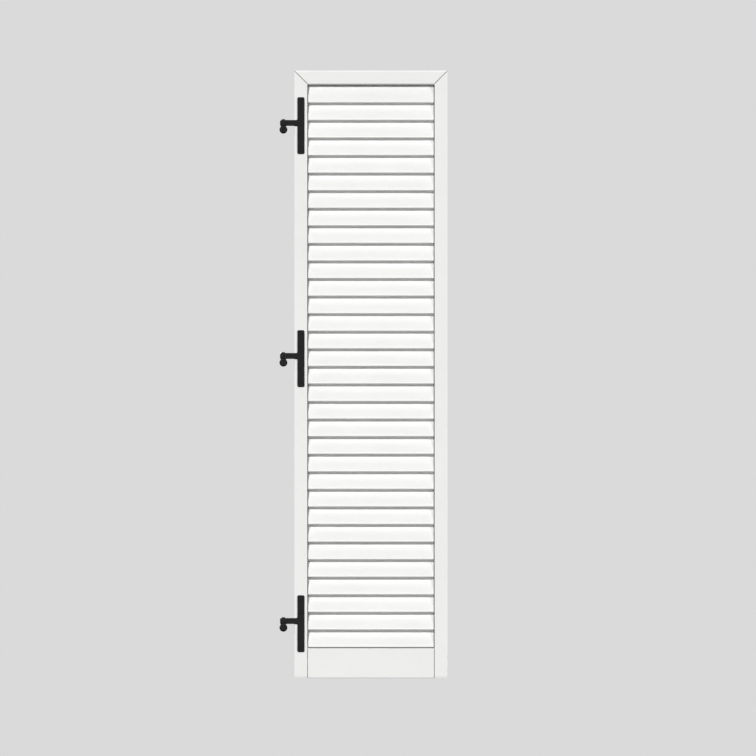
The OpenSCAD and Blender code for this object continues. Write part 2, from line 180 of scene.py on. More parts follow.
def noise_node(tree, position, scale, detail, roughness=0.5):
    """A noise texture's value on a position socket. The scale is a number or a socket."""
    node = tree.nodes.new("ShaderNodeTexNoise")
    tree.links.new(position, node.inputs["Vector"])
    if isinstance(scale, (int, float)):
        node.inputs["Scale"].default_value = scale
    else:
        tree.links.new(scale, node.inputs["Scale"])
    node.inputs["Detail"].default_value = detail
    node.inputs["Roughness"].default_value = roughness
    return node.outputs[0]


def make_powder_skin():
    """Powder coat's relief and tone: a peel of soft waves and the grain that lies on it."""
    tree, given, out = shader_group(
        "powder skin",
        {"Peel Scale": 420, "Grain Scale": 2600, "Grain Share": 0.25},
        ("Height", "Tone", "Gloss"),
    )
    tone_scale = 5.0
    gloss_scale = 36.0
    place = tree.nodes.new("ShaderNodeTexCoord").outputs["Object"]
    peel = noise_node(tree, place, given.outputs["Peel Scale"], 1)
    grain = noise_node(tree, place, given.outputs["Grain Scale"], 2)
    share = math_node(tree, "MULTIPLY", grain, given.outputs["Grain Share"])
    tree.links.new(math_node(tree, "ADD", peel, share), out.inputs["Height"])
    tree.links.new(noise_node(tree, place, tone_scale, 3, 0.6), out.inputs["Tone"])
    tree.links.new(noise_node(tree, place, gloss_scale, 3, 0.6), out.inputs["Gloss"])
    return tree


powder_skin = make_powder_skin()


def spread(tree, mask, low, high):
    """Maps a mask from 0..1 to low..high, which are two colours or two numbers."""
    if isinstance(low, tuple):
        node = tree.nodes.new("ShaderNodeMix")
        node.data_type = "RGBA"
        node.inputs["A"].default_value = low
        node.inputs["B"].default_value = high
        tree.links.new(mask, node.inputs["Factor"])
        return node.outputs["Result"]
    node = tree.nodes.new("ShaderNodeMapRange")
    node.inputs["To Min"].default_value = low
    node.inputs["To Max"].default_value = high
    tree.links.new(mask, node.inputs["Value"])
    return node.outputs["Result"]


def coated_finish(name, skin, skin_values, colours, gloss, relief, depth=0.0002, **constants):
    """A finish whose colour, roughness and relief come from a skin group with its own values."""
    finish = bpy.data.materials.new(name)
    finish.use_nodes = True
    tree = finish.node_tree
    shader = tree.nodes["Principled BSDF"]
    group = tree.nodes.new("ShaderNodeGroup")
    group.node_tree = skin
    for label, value in skin_values.items():
        group.inputs[label].default_value = value
    tree.links.new(spread(tree, group.outputs["Tone"], *colours), shader.inputs["Base Color"])
    tree.links.new(spread(tree, group.outputs["Gloss"], *gloss), shader.inputs["Roughness"])
    bump = tree.nodes.new("ShaderNodeBump")
    bump.inputs["Strength"].default_value = relief
    bump.inputs["Distance"].default_value = depth
    tree.links.new(group.outputs["Height"], bump.inputs["Height"])
    tree.links.new(bump.outputs["Normal"], shader.inputs["Normal"])
    for label, value in constants.items():
        shader.inputs[label.replace("_", " ")].default_value = value
    return finish


white_coat = coated_finish(
    "white_satin_coat",
    powder_skin,
    {"Peel Scale": 420, "Grain Scale": 2600, "Grain Share": 0.25},
    colours=((0.80, 0.80, 0.785, 1), (0.86, 0.86, 0.85, 1)),
    gloss=(0.30, 0.42),
    relief=0.40,
)

profile_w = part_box("hinge_stile")[1].x - leaf_low.x
profile_d = leaf_high.y - leaf_low.y
edge_radius = 0.002
edge_steps = 5
mitre_ease = 0.0013
mitre_seam = 0.0010


def eased(corners, steps=edge_steps):
    """An outline through corners given as (x, y, radius), each rounded to its own radius."""
    points = []
    for i, (x, y, radius) in enumerate(corners):
        if radius == 0:
            points.append((x, y))
            continue
        here = Vector((x, y))
        to_last = (Vector(corners[i - 1][:2]) - here).normalized()
        to_next = (Vector(corners[(i + 1) % len(corners)][:2]) - here).normalized()
        half = to_last.angle(to_next) / 2
        centre = here + (to_last + to_next).normalized() * radius / math.sin(half)
        start = here + to_last * radius / math.tan(half) - centre
        end = here + to_next * radius / math.tan(half) - centre
        for step in range(steps + 1):
            points.append(tuple(centre + start.lerp(end, step / steps).normalized() * radius))
    return points


def rounded_outline(width, depth, radius, inset=0.0):
    """A rectangle's outline with round corners, from (0, 0) to (width, depth), drawn in by inset."""
    r = max(radius - inset, radius * 0.2)
    sides = (inset, width - inset), (inset, depth - inset)
    return eased([(sides[0][x], sides[1][y], r) for x, y in ((0, 0), (1, 0), (1, 1), (0, 1))])


def baked(mesh, kind, **settings):
    """A copy of a mesh with one modifier applied to it."""
    holder = bpy.data.objects.new(mesh.name, mesh)
    scene.collection.objects.link(holder)
    modifier = holder.modifiers.new(kind, kind)
    for label, value in settings.items():
        setattr(modifier, label, value)
    bpy.context.view_layer.update()
    result = bpy.data.meshes.new_from_object(holder.evaluated_get(bpy.context.evaluated_depsgraph_get()))
    bpy.data.objects.remove(holder)
    result.name = mesh.name
    return result


def finished(name, mesh, body, finish, slot, *nodes, sharp=32):
    """Makes a mesh a piece that rides on a body and stands for CAD nodes. Its flats are shaded flat
    and its bends smooth, and an edge steeper than sharp degrees stays crisp."""
    mesh.shade_smooth()
    mesh.set_sharp_from_angle(angle=math.radians(sharp))
    mesh = baked(mesh, "WEIGHTED_NORMAL", keep_sharp=True, weight=100)
    mesh.materials.clear()
    mesh.materials.append(finish)
    piece = bpy.data.objects.new(name, mesh)
    scene.collection.objects.link(piece)
    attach(piece, body)
    if nodes:
        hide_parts(*nodes)
    return piece


def mesh_from(name, bm):
    """Turns a bmesh into a mesh with its faces pointing outwards."""
    bmesh.ops.recalc_face_normals(bm, faces=bm.faces)
    mesh = bpy.data.meshes.new(name)
    bm.to_mesh(mesh)
    bm.free()
    return mesh


def loft(bm, rings, bored=False):
    """Skins rings of equal length one after another. The ends are closed, or, on a bored shape, the
    last ring joins the first."""
    loops = [[bm.verts.new(point) for point in ring] for ring in rings]
    for near, far in zip(loops, loops[1:] + loops[:1] if bored else loops[1:]):
        for i in range(len(near)):
            j = (i + 1) % len(near)
            bm.faces.new((near[i], near[j], far[j], far[i]))
    if not bored:
        bm.faces.new(loops[0])
        bm.faces.new(loops[-1])


def mitred_bar(name, place, length, square_foot):
    """A bar of the profile. place(across, back, along) gives a point in the leaf, with across
    measured from the leaf's outer edge. The far end is mitred, and the near end unless it is square."""
    steps = ((mitre_ease, mitre_seam), (0, mitre_ease + mitre_seam))
    rings = []
    for inset, short in steps:
        outline = rounded_outline(profile_w, profile_d, edge_radius, inset)
        rings.append([place(x, y, short if square_foot else x + short) for x, y in outline])
    for inset, short in reversed(steps):
        outline = rounded_outline(profile_w, profile_d, edge_radius, inset)
        rings.append([place(x, y, length - x - short) for x, y in outline])
    bm = bmesh.new()
    loft(bm, rings)
    return mesh_from(name, bm)


weld_distance = 0.000001


def solids_of(node):
    """The lowest and highest corner of each separate solid in a CAD node, from the bottom up and
    from left to right."""
    bm = bmesh.new()
    bm.from_mesh(frame["nodes"][node].data)
    bmesh.ops.remove_doubles(bm, verts=bm.verts, dist=weld_distance)
    waiting, found = set(bm.verts), []
    while waiting:
        front = [waiting.pop()]
        low, high = front[0].co.copy(), front[0].co.copy()
        while front:
            vert = front.pop()
            low = Vector(map(min, low, vert.co))
            high = Vector(map(max, high, vert.co))
            for edge in vert.link_edges:
                other = edge.other_vert(vert)
                if other in waiting:
                    waiting.remove(other)
                    front.append(other)
        found.append((low, high))
    bm.free()
    return sorted(found, key=lambda corners: (round(corners[0].z, 4), round(corners[0].x, 4)))


def turned(outline, bored=False, segments=40, shape=None):
    """Turns an outline of (radius, height) points about Z. shape(turn, radius, height) gives the
    radius at a turn, where the piece isn't round."""
    shape = shape or (lambda turn, radius, height: radius)
    turns = [2 * math.pi * i / segments for i in range(segments)]
    rings = []
    for radius, height in outline:
        radii = [shape(turn, radius, height) for turn in turns]
        rings.append([(r * math.cos(turn), r * math.sin(turn), height) for turn, r in zip(turns, radii)])
    bm = bmesh.new()
    loft(bm, rings, bored)
    return mesh_from("turned", bm)


sliver_size = 0.000005


def joined_or_cut(mesh, operation, tools):
    """Adds shapes to a mesh (UNION) or takes them away (DIFFERENCE), and clears any slivers. Each
    tool is a mesh and its matrix."""
    bm = bmesh.new()
    for tool, matrix in tools:
        copy = tool.copy()
        copy.transform(matrix)
        bm.from_mesh(copy)
    holder = bpy.data.objects.new("tools", mesh_from("tools", bm))
    scene.collection.objects.link(holder)
    result = baked(mesh, "BOOLEAN", operation=operation, solver="EXACT", object=holder)
    bpy.data.objects.remove(holder)
    bm = bmesh.new()
    bm.from_mesh(result)
    bmesh.ops.remove_doubles(bm, verts=bm.verts, dist=sliver_size)
    bmesh.ops.dissolve_degenerate(bm, edges=bm.edges, dist=sliver_size)
    bm.to_mesh(result)
    bm.free()
    return result


pin_solids = solids_of("cleat_pins")
pin_radius = (pin_solids[0][1].x - pin_solids[0][0].x) / 2
pin_clearance = 0.00015
drill_radius = pin_radius + pin_clearance
drill_depth = 0.004
drill = turned([(drill_radius, -drill_depth), (drill_radius, drill_depth)], segments=32)
along_y = Matrix.Rotation(math.radians(-90), 4, "X")
stile_foot = leaf_low.z
stile_length = leaf_top - stile_foot
stile_pins = [pin for pin in pin_solids if pin[0].z < leaf_top - profile_w]
rail_pins = [pin for pin in pin_solids if pin[0].z >= leaf_top - profile_w]


def left_stile_place(across, back, along):
    return Vector((leaf_low.x + across, leaf_low.y + back, stile_foot + along))


def right_stile_place(across, back, along):
    return Vector((leaf_high.x - across, leaf_low.y + back, stile_foot + along))


def top_rail_place(across, back, along):
    return Vector((leaf_low.x + along, leaf_low.y + back, leaf_top - across))


for name, node, place, length, square_foot, pins in (
    ("hinge_stile_profile", "hinge_stile", left_stile_place, stile_length, True, stile_pins),
    ("closing_stile_profile", "closing_stile", right_stile_place, stile_length, True, stile_pins),
    ("top_rail_profile", "top_rail", top_rail_place, leaf_high.x - leaf_low.x, False, rail_pins),
):
    pin_spots = [
        Matrix.Translation(((low.x + high.x) / 2, high.y, (low.z + high.z) / 2)) for low, high in pins
    ]
    bar = mitred_bar(name, place, length, square_foot)
    bar = joined_or_cut(bar, "DIFFERENCE", [(drill, spot @ along_y) for spot in pin_spots])
    finished(name, bar, "leaf", white_coat, "white_powder_coat", node)

# ---- Corner cleats and their pins -----------------------------------------
# Each mitre is held from inside by an L-shaped cleat, sawn from an aluminium
# extrusion and left bare, with one zinc-plated steel pin through each leg.


def make_metal_skin():
    """Bare metal's surface: soft clouds, and the fine lines that the die leaves along an extrusion."""
    tree, given, out = shader_group(
        "metal skin",
        {"Cloud Scale": 60, "Line Scale": 900, "Line Share": 0.5},
        ("Height", "Tone", "Gloss"),
    )
    place = tree.nodes.new("ShaderNodeTexCoord").outputs["Object"]
    line_stretch = 0.02
    tone_share = 0.7
    drawn_out = tree.nodes.new("ShaderNodeMapping")
    drawn_out.inputs["Scale"].default_value = (1, line_stretch, 1)
    tree.links.new(place, drawn_out.inputs["Vector"])
    cloud = noise_node(tree, place, given.outputs["Cloud Scale"], 4, 0.6)
    lines = noise_node(tree, drawn_out.outputs[0], given.outputs["Line Scale"], 2)
    lined = math_node(tree, "MULTIPLY", lines, given.outputs["Line Share"])
    mixed = math_node(tree, "ADD", lined, cloud)
    tree.links.new(mixed, out.inputs["Height"])
    tree.links.new(math_node(tree, "MULTIPLY", mixed, tone_share), out.inputs["Tone"])
    tree.links.new(cloud, out.inputs["Gloss"])
    return tree


def dressed(node, finish):
    """Gives a CAD node, whose shape is right as it is, its finish."""
    materials = frame["nodes"][node].data.materials
    materials.clear()
    materials.append(finish)


metal_skin = make_metal_skin()
mill_aluminium = coated_finish(
    "mill_aluminium",
    metal_skin,
    {"Cloud Scale": 40, "Line Scale": 1200, "Line Share": 0.6},
    colours=((0.60, 0.61, 0.62, 1), (0.78, 0.79, 0.80, 1)),
    gloss=(0.30, 0.42),
    relief=0.25,
    depth=0.00005,
    Metallic=1,
)
zinc_plate = coated_finish(
    "zinc_plate",
    metal_skin,
    {"Cloud Scale": 180, "Line Scale": 300, "Line Share": 0.1},
    colours=((0.56, 0.58, 0.62, 1), (0.74, 0.75, 0.78, 1)),
    gloss=(0.22, 0.36),
    relief=0.20,
    depth=0.00005,
    Metallic=1,
)
dressed("left_corner_cleat", mill_aluminium)
dressed("right_corner_cleat", mill_aluminium)
dressed("cleat_pins", zinc_plate)

# ---- Bottom rail ----------------------------------------------------------
# A taller hollow profile of the same aluminium, sawn square and screwed
# between the stiles. Its end edges are eased like the mitres.

rail_low, rail_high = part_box("bottom_rail")
rail_size = rail_high - rail_low
rail_ease = 0.0012
rail_seam = 0.0012
rail_rings = []
for inset, at in (
    (rail_ease, rail_seam),
    (0, rail_seam + rail_ease),
    (0, rail_size.x - rail_seam - rail_ease),
    (rail_ease, rail_size.x - rail_seam),
):
    rail_outline = rounded_outline(rail_size.y, rail_size.z, edge_radius, inset)
    rail_rings.append([rail_low + Vector((at, y, z)) for y, z in rail_outline])
rail_bm = bmesh.new()
loft(rail_bm, rail_rings)
rail_mesh = mesh_from("bottom_rail_profile", rail_bm)
finished("bottom_rail_profile", rail_mesh, "leaf", white_coat, "white_powder_coat", "bottom_rail")

# ---- Joint seals and shade strip ------------------------------------------
# A thin black rubber pad lies in each of the frame's four joints, a little
# below the surface, and keeps water out of the profiles. A strip of the same
# rubber on the bottom rail closes the gap below the lowest slat. Its black is
# also painted shade: it makes the dark line there that each slat's shade makes.


def make_moulded_skin():
    """Moulded plastic's surface: the mould's fine spark grain and a slight unevenness of shine."""
    tone_scale = 22.0
    gloss_scale = 130.0
    tree, given, out = shader_group("moulded skin", {"Grain Scale": 1800}, ("Height", "Tone", "Gloss"))
    place = tree.nodes.new("ShaderNodeTexCoord").outputs["Object"]
    grain = noise_node(tree, place, given.outputs["Grain Scale"], 2, 0.55)
    tree.links.new(grain, out.inputs["Height"])
    tree.links.new(noise_node(tree, place, tone_scale, 2), out.inputs["Tone"])
    tree.links.new(noise_node(tree, place, gloss_scale, 3), out.inputs["Gloss"])
    return tree


moulded_skin = make_moulded_skin()
black_rubber = coated_finish(
    "black_rubber",
    moulded_skin,
    {"Grain Scale": 1200},
    colours=((0.008, 0.008, 0.008, 1), (0.014, 0.014, 0.014, 1)),
    gloss=(0.70, 0.82),
    relief=0.25,
    depth=0.0001,
)
seal_depth = 0.0010
seals_and_shade_strip_bm = bmesh.new()
mitre_face = rounded_outline(profile_w, profile_d, edge_radius, seal_depth)
for place in (left_stile_place, right_stile_place):
    sides = (-mitre_seam, mitre_seam)
    loft(seals_and_shade_strip_bm, [[place(x, y, stile_length - x + side) for x, y in mitre_face] for side in sides])
pad_face = rounded_outline(rail_size.y, rail_size.z, edge_radius, seal_depth)
for start in (0, rail_size.x - rail_seam):
    ends = (start, start + rail_seam)
    loft(seals_and_shade_strip_bm, [[rail_low + Vector((at, y, z)) for y, z in pad_face] for at in ends])
# The strip's black is painted shade: it draws the dark line under the lowest slat, where the open gap would
# look pale.
strip_w = 0.007
strip_h = 0.0028
strip_radius = 0.0012
strip_sink = 0.0002
strip_low = Vector((rail_low.x + rail_seam, rail_low.y + seal_depth, rail_high.z - strip_sink))
strip_outline = rounded_outline(strip_w, strip_h, strip_radius)
strip_face = [(strip_low.y + y, strip_low.z + z) for y, z in strip_outline]
strip_ends = (strip_low.x, strip_low.x + rail_size.x - 2 * rail_seam)
loft(seals_and_shade_strip_bm, [[(x, y, z) for y, z in strip_face] for x in strip_ends])
seals_and_shade_strip_mesh = mesh_from("joint_seals", seals_and_shade_strip_bm)
finished("joint_seals", seals_and_shade_strip_mesh, "leaf", black_rubber, "black_nylon")

# ---- Slats ----------------------------------------------------------------
# Hollow oval aluminium extrusions, all alike, stacked at one pitch. Each leans
# with its lower edge to the front, so that rain runs off and no one sees in.

slat_nodes = sorted(name for name in frame["nodes"] if name.startswith("slat_"))
first_low, first_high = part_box(slat_nodes[0])
last_low, last_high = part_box(slat_nodes[-1])
slat_middle = (first_low + first_high) / 2
slat_pitch = ((last_low + last_high) / 2 - slat_middle).z / (len(slat_nodes) - 1)
slat_tip_radius = 0.0025
slat_thickness = 0.010
reach_up = (first_high.z - first_low.z) / 2 - slat_tip_radius
reach_back = (first_high.y - first_low.y) / 2 - slat_tip_radius
slat_half = math.hypot(reach_up, reach_back)
slat_chord = 2 * (slat_half + slat_tip_radius)
lean_back, lean_up = reach_back / slat_half, reach_up / slat_half
slat_turn = Matrix(((0, 0, 1), (lean_back, -lean_up, 0), (lean_up, lean_back, 0))).to_euler()


def geometry_tree(name, inputs):
    """An empty geometry node tree with named inputs, given as {label: socket type}."""
    tree = bpy.data.node_groups.new(name, "GeometryNodeTree")
    tree.interface.new_socket(name="Geometry", in_out="INPUT", socket_type="NodeSocketGeometry")
    for label, kind in inputs.items():
        tree.interface.new_socket(name=label, in_out="INPUT", socket_type="NodeSocket" + kind)
    tree.interface.new_socket(name="Geometry", in_out="OUTPUT", socket_type="NodeSocketGeometry")
    return tree, tree.nodes.new("NodeGroupInput").outputs, tree.nodes.new("NodeGroupOutput").inputs


def add_node(tree, kind, links=None, values=None, **settings):
    """A node with some settings, its inputs linked from sockets or set to plain values."""
    node = tree.nodes.new(kind)
    for label, value in settings.items():
        setattr(node, label, value)
    for label, source in (links or {}).items():
        tree.links.new(source, node.inputs[label])
    for label, value in (values or {}).items():
        node.inputs[label].default_value = value
    return node


def end_tree(tree, geometry, material, out):
    """Realizes the instances, gives them their material and ends the tree."""
    real = add_node(tree, "GeometryNodeRealizeInstances", {"Geometry": geometry})
    coated = add_node(tree, "GeometryNodeSetMaterial", {"Geometry": real.outputs[0], "Material": material})
    tree.links.new(coated.outputs[0], out["Geometry"])


def grown(name, tree, values, host_mesh=None):
    """Runs a geometry tree with the given input values and returns the plain mesh that it makes."""
    host = bpy.data.objects.new(name, host_mesh or bpy.data.meshes.new(name + "_host"))
    scene.collection.objects.link(host)
    modifier = host.modifiers.new(name, "NODES")
    modifier.node_group = tree
    sockets = {item.name: item.identifier for item in tree.interface.items_tree if item.in_out == "INPUT"}
    for label, value in values.items():
        modifier[sockets[label]] = value
    bpy.context.view_layer.update()
    mesh = bpy.data.meshes.new_from_object(host.evaluated_get(bpy.context.evaluated_depsgraph_get()))
    mesh.name = name
    bpy.data.objects.remove(host)
    return mesh


def make_slat_stack():
    """A slat's oval section, swept to its length, leaned, and stacked upwards at the pitch."""
    tree, given, out = geometry_tree(
        "slat stack",
        {
            "Length": "Float",
            "Chord": "Float",
            "Thickness": "Float",
            "Tip Radius": "Float",
            "Lean": "Vector",
            "First Slat": "Vector",
            "Pitch": "Vector",
            "Count": "Int",
            "Outline Points": "Int",
            "Finish": "Material",
        },
    )
    tip_points = 8
    tip_width = math_node(tree, "MULTIPLY", given["Tip Radius"], 2.0)
    flat = add_node(
        tree, "GeometryNodeCurvePrimitiveQuadrilateral", {"Width": given["Chord"], "Height": tip_width}
    )
    tips = add_node(
        tree,
        "GeometryNodeFilletCurve",
        {"Curve": flat.outputs[0], "Radius": given["Tip Radius"]},
        {"Count": tip_points},
        mode="POLY",
    )
    outline = add_node(
        tree,
        "GeometryNodeResampleCurve",
        {"Curve": tips.outputs[0], "Count": given["Outline Points"]},
        mode="COUNT",
    )
    position = add_node(tree, "GeometryNodeInputPosition")
    spot = add_node(tree, "ShaderNodeSeparateXYZ", {"Vector": position.outputs[0]})
    half_chord = math_node(tree, "MULTIPLY", given["Chord"], 0.5)
    share = math_node(tree, "DIVIDE", spot.outputs["X"], half_chord)
    hump = math_node(tree, "SUBTRACT", 1.0, math_node(tree, "MULTIPLY", share, share))
    crown = math_node(tree, "SUBTRACT", given["Thickness"], tip_width)
    fullness = math_node(tree, "DIVIDE", math_node(tree, "MULTIPLY", crown, hump), tip_width)
    swelling = math_node(tree, "MULTIPLY", fullness, spot.outputs["Y"])
    offset = add_node(tree, "ShaderNodeCombineXYZ", {"Y": swelling})
    section = add_node(
        tree, "GeometryNodeSetPosition", {"Geometry": outline.outputs[0], "Offset": offset.outputs[0]}
    )
    far_end = add_node(tree, "ShaderNodeCombineXYZ", {"Z": given["Length"]})
    run = add_node(tree, "GeometryNodeCurvePrimitiveLine", {"End": far_end.outputs[0]}, mode="POINTS")
    slat = add_node(
        tree,
        "GeometryNodeCurveToMesh",
        {"Curve": run.outputs[0], "Profile Curve": section.outputs[0]},
        {"Fill Caps": True},
    )
    back = math_node(tree, "MULTIPLY", given["Length"], -0.5)
    centring = add_node(tree, "ShaderNodeCombineXYZ", {"Z": back})
    centred = add_node(
        tree, "GeometryNodeTransform", {"Geometry": slat.outputs[0], "Translation": centring.outputs[0]}
    )
    places = add_node(
        tree,
        "GeometryNodeMeshLine",
        {"Count": given["Count"], "Start Location": given["First Slat"], "Offset": given["Pitch"]},
        mode="OFFSET",
    )
    lean = add_node(tree, "FunctionNodeEulerToRotation", {"Euler": given["Lean"]})
    stack = add_node(
        tree,
        "GeometryNodeInstanceOnPoints",
        {"Points": places.outputs[0], "Instance": centred.outputs[0], "Rotation": lean.outputs[0]},
    )
    end_tree(tree, stack.outputs[0], given["Finish"], out)
    return tree


slat_mesh = grown(
    "slats",
    make_slat_stack(),
    {
        "Length": first_high.x - first_low.x,
        "Chord": slat_chord,
        "Thickness": slat_thickness,
        "Tip Radius": slat_tip_radius,
        "Lean": tuple(slat_turn),
        "First Slat": tuple(slat_middle),
        "Pitch": (0, 0, slat_pitch),
        "Count": len(slat_nodes),
        "Outline Points": 120,
        "Finish": white_coat,
    },
)
finished("slats", slat_mesh, "leaf", white_coat, "white_powder_coat", *slat_nodes)

# ---- Slat caps ------------------------------------------------------------
# Moulded black nylon caps close the slats' ends. Each has a flange the shape
# of the slat, a plug inside it and two pegs that snap into the stile.

black_nylon = coated_finish(
    "moulded_black_nylon",
    moulded_skin,
    {"Grain Scale": 1800},
    colours=((0.011, 0.011, 0.012, 1), (0.019, 0.019, 0.020, 1)),
    gloss=(0.46, 0.58),
    relief=0.30,
    depth=0.0001,
)
dressed("left_slat_caps", black_nylon)
dressed("right_slat_caps", black_nylon)

# ---- Bottom rail screws and hole plugs ------------------------------------
# Pan-head screws through each stile's inner web hold the rail. They go in by
# holes in the stile's edge, and a domed white plastic plug closes each hole.

white_plastic = coated_finish(
    "moulded_white_plastic",
    moulded_skin,
    {"Grain Scale": 2400},
    colours=((0.76, 0.76, 0.745, 1), (0.81, 0.81, 0.80, 1)),
    gloss=(0.30, 0.38),
    relief=0.12,
    depth=0.0001,
)
dressed("rail_screws", zinc_plate)

plug_solids = solids_of("hole_plugs")
plug_low, plug_high = plug_solids[0]
plug_flange_radius = (plug_high.z - plug_low.z) / 2
plug_flange_t = 0.0012
plug_lap = 0.0015
plug_clearance = 0.0002
plug_rim = 0.0001
plug_body_radius = plug_flange_radius - plug_lap - plug_clearance
plug_length = plug_high.x - plug_low.x
plug_lead_in = 0.0006
plug_lead_length = 0.0008
dome_steps = 6
dome_turn = 15
dome_start = 0.4
dome_closing = 1.04
plug_outline = [
    (plug_body_radius - plug_lead_in, plug_length),
    (plug_body_radius, plug_length - plug_lead_length),
    (plug_body_radius, plug_flange_t),
    (plug_flange_radius - plug_rim, plug_flange_t),
]
for step in range(dome_steps):
    slope = math.radians(dome_turn * (step + dome_start))
    dome_radius = plug_flange_radius * math.cos(slope * dome_closing)
    plug_outline.append((dome_radius, (plug_flange_t - plug_rim) * (1 - math.sin(slope))))
plug_pattern = turned(plug_outline, segments=36)


def make_set_out():
    """Copies of one pattern piece, one at each point of a mesh and turned as the point's own turn says."""
    tree, given, out = geometry_tree("set out", {"Pattern": "Object", "Finish": "Material"})
    pattern = add_node(tree, "GeometryNodeObjectInfo", {"Object": given["Pattern"]})
    turn = add_node(
        tree, "GeometryNodeInputNamedAttribute", values={"Name": "turn"}, data_type="FLOAT_VECTOR"
    )
    facing = add_node(tree, "FunctionNodeEulerToRotation", {"Euler": turn.outputs["Attribute"]})
    copies = add_node(
        tree,
        "GeometryNodeInstanceOnPoints",
        {
            "Points": given["Geometry"],
            "Instance": pattern.outputs["Geometry"],
            "Rotation": facing.outputs[0],
        },
    )
    end_tree(tree, copies.outputs[0], given["Finish"], out)
    return tree


set_out_tree = make_set_out()


def set_out(name, pattern, spots, turns, finish):
    """One mesh of copies of a pattern mesh, at the given points, each with its own turn about X, Y and Z."""
    points = bpy.data.meshes.new(name + "_points")
    points.from_pydata([tuple(spot) for spot in spots], [], [])
    turn = points.attributes.new("turn", "FLOAT_VECTOR", "POINT")
    turn.data.foreach_set("vector", [angle for angles in turns for angle in angles])
    holder = bpy.data.objects.new(name + "_pattern", pattern)
    scene.collection.objects.link(holder)
    mesh = grown(name, set_out_tree, {"Pattern": holder, "Finish": finish}, points)
    bpy.data.objects.remove(holder)
    return mesh


plug_spots, plug_turns = [], []
for low, high in plug_solids:
    on_left = low.x < leaf_middle.x
    plug_spots.append((low.x if on_left else high.x, (low.y + high.y) / 2, (low.z + high.z) / 2))
    plug_turns.append((0, math.radians(90 if on_left else -90), 0))
plug_mesh = set_out("hole_plug_set", plug_pattern, plug_spots, plug_turns, white_plastic)
finished("hole_plug_set", plug_mesh, "leaf", white_plastic, "white_plastic", "hole_plugs")

# ---- Foot caps ------------------------------------------------------------
# A moulded white cap closes the foot of each stile: a flange with the
# profile's outline and a hollow plug that is pressed into its chamber.

dressed("left_foot_cap", white_plastic)
dressed("right_foot_cap", white_plastic)

# ---- Straps ---------------------------------------------------------------
# Each hinge strap is a plate cut from 5 mm steel, with an arm welded to a
# turned eye, its edges rounded before the black powder coat went on.

strap_nodes = ("bottom_strap", "middle_strap", "top_strap")
axis = Vector(frame["joints"][0]["pos_m"])
strap_low, strap_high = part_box(strap_nodes[0])
eye_radius = axis.x - strap_low.x
strap_t = 0.005
strap_w = 0.025
strap_front = leaf_low.y - strap_t
plate_radius = 0.005
arm_h = 0.021
# The arm is a hair lower than its eye, so that the two join without faces in one plane.
arm_step = 0.00005
arm_rise = 0.009
arm_fillet = 0.004
eye_edge = 0.004
eye_bore = 0.00753
strap_edge = 0.0012
strap_back_edge = 0.0004
edge_rings = 4
strap_half_h = (strap_high.z - strap_low.z) / 2
strap_right = strap_high.x
arm_heights = [sum(corner.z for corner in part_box(node)) / 2 + arm_rise for node in strap_nodes]

black_coat = coated_finish(
    "black_textured_coat",
    powder_skin,
    {"Peel Scale": 1100, "Grain Scale": 3200, "Grain Share": 0.5},
    colours=((0.006, 0.006, 0.007, 1), (0.011, 0.011, 0.012, 1)),
    gloss=(0.34, 0.44),
    relief=0.45,
    Specular_IOR_Level=0.15,
)


def strap_outline(inset):
    """The plate with its arm, about the arm's middle at the hinge axis, drawn in by inset."""
    left, right = strap_right - strap_w + inset, strap_right - inset
    foot, head = -arm_rise - strap_half_h + inset, -arm_rise + strap_half_h - inset
    half_arm = arm_h / 2 - arm_step - inset
    round_out, round_in = plate_radius - inset, arm_fillet + inset
    return eased(
        [
            (left, foot, round_out),
            (right, foot, round_out),
            (right, head, round_out),
            (left, head, round_out),
            (left, half_arm, round_in),
            (axis.x, half_arm, 0),
            (axis.x, -half_arm, 0),
            (left, -half_arm, round_in),
        ]
    )


strap_rings = []
for step in range(edge_rings + 1):
    a = math.radians(90 * step / edge_rings)
    ring_y = strap_front + strap_edge * (1 - math.cos(a))
    strap_rings.append([(x, ring_y, z) for x, z in strap_outline(strap_edge * (1 - math.sin(a)))])
for inset, ring_y in ((0, leaf_low.y - strap_back_edge), (strap_back_edge, leaf_low.y)):
    strap_rings.append([(x, ring_y, z) for x, z in strap_outline(inset)])
strap_bm = bmesh.new()
loft(strap_bm, strap_rings)
strap_plate = mesh_from("strap_plate", strap_bm)

half_eye_h = arm_h / 2
eye_core = 0.002
eye_outline = eased(
    [
        (eye_core, -half_eye_h, 0),
        (eye_radius, -half_eye_h, eye_edge),
        (eye_radius, half_eye_h, eye_edge),
        (eye_core, half_eye_h, 0),
    ],
    steps=8,
)
eye_body = turned(eye_outline, segments=56)
eye_hole = turned([(eye_bore, -arm_h), (eye_bore, arm_h)], segments=56)
at_axis = Matrix.Translation((axis.x, axis.y, 0))

screw_solids = solids_of("strap_screws")
screw_low, screw_high = screw_solids[0]
screw_head_radius = (screw_high.x - screw_low.x) / 2
screw_radius = screw_head_radius / 2
head_depth = screw_head_radius - screw_radius
hole_gap = 0.0002
cutter_above = 0.002
cutter_below = 0.008
countersink = turned(
    [
        (screw_head_radius + hole_gap, -cutter_above),
        (screw_head_radius + hole_gap, 0),
        (screw_radius + hole_gap, head_depth),
        (screw_radius + hole_gap, cutter_below),
    ],
    segments=36,
)
screw_spots = [((low.x + high.x) / 2, low.y, (low.z + high.z) / 2) for low, high in screw_solids]
first_strap_screws = [
    Matrix.Translation((x, y, z - arm_heights[0])) @ along_y
    for x, y, z in screw_spots
    if abs(z - arm_heights[0] + arm_rise) < strap_half_h
]
strap_mesh = joined_or_cut(strap_plate, "UNION", [(eye_body, at_axis)])
strap_mesh = joined_or_cut(strap_mesh, "DIFFERENCE", [(eye_hole, at_axis)])
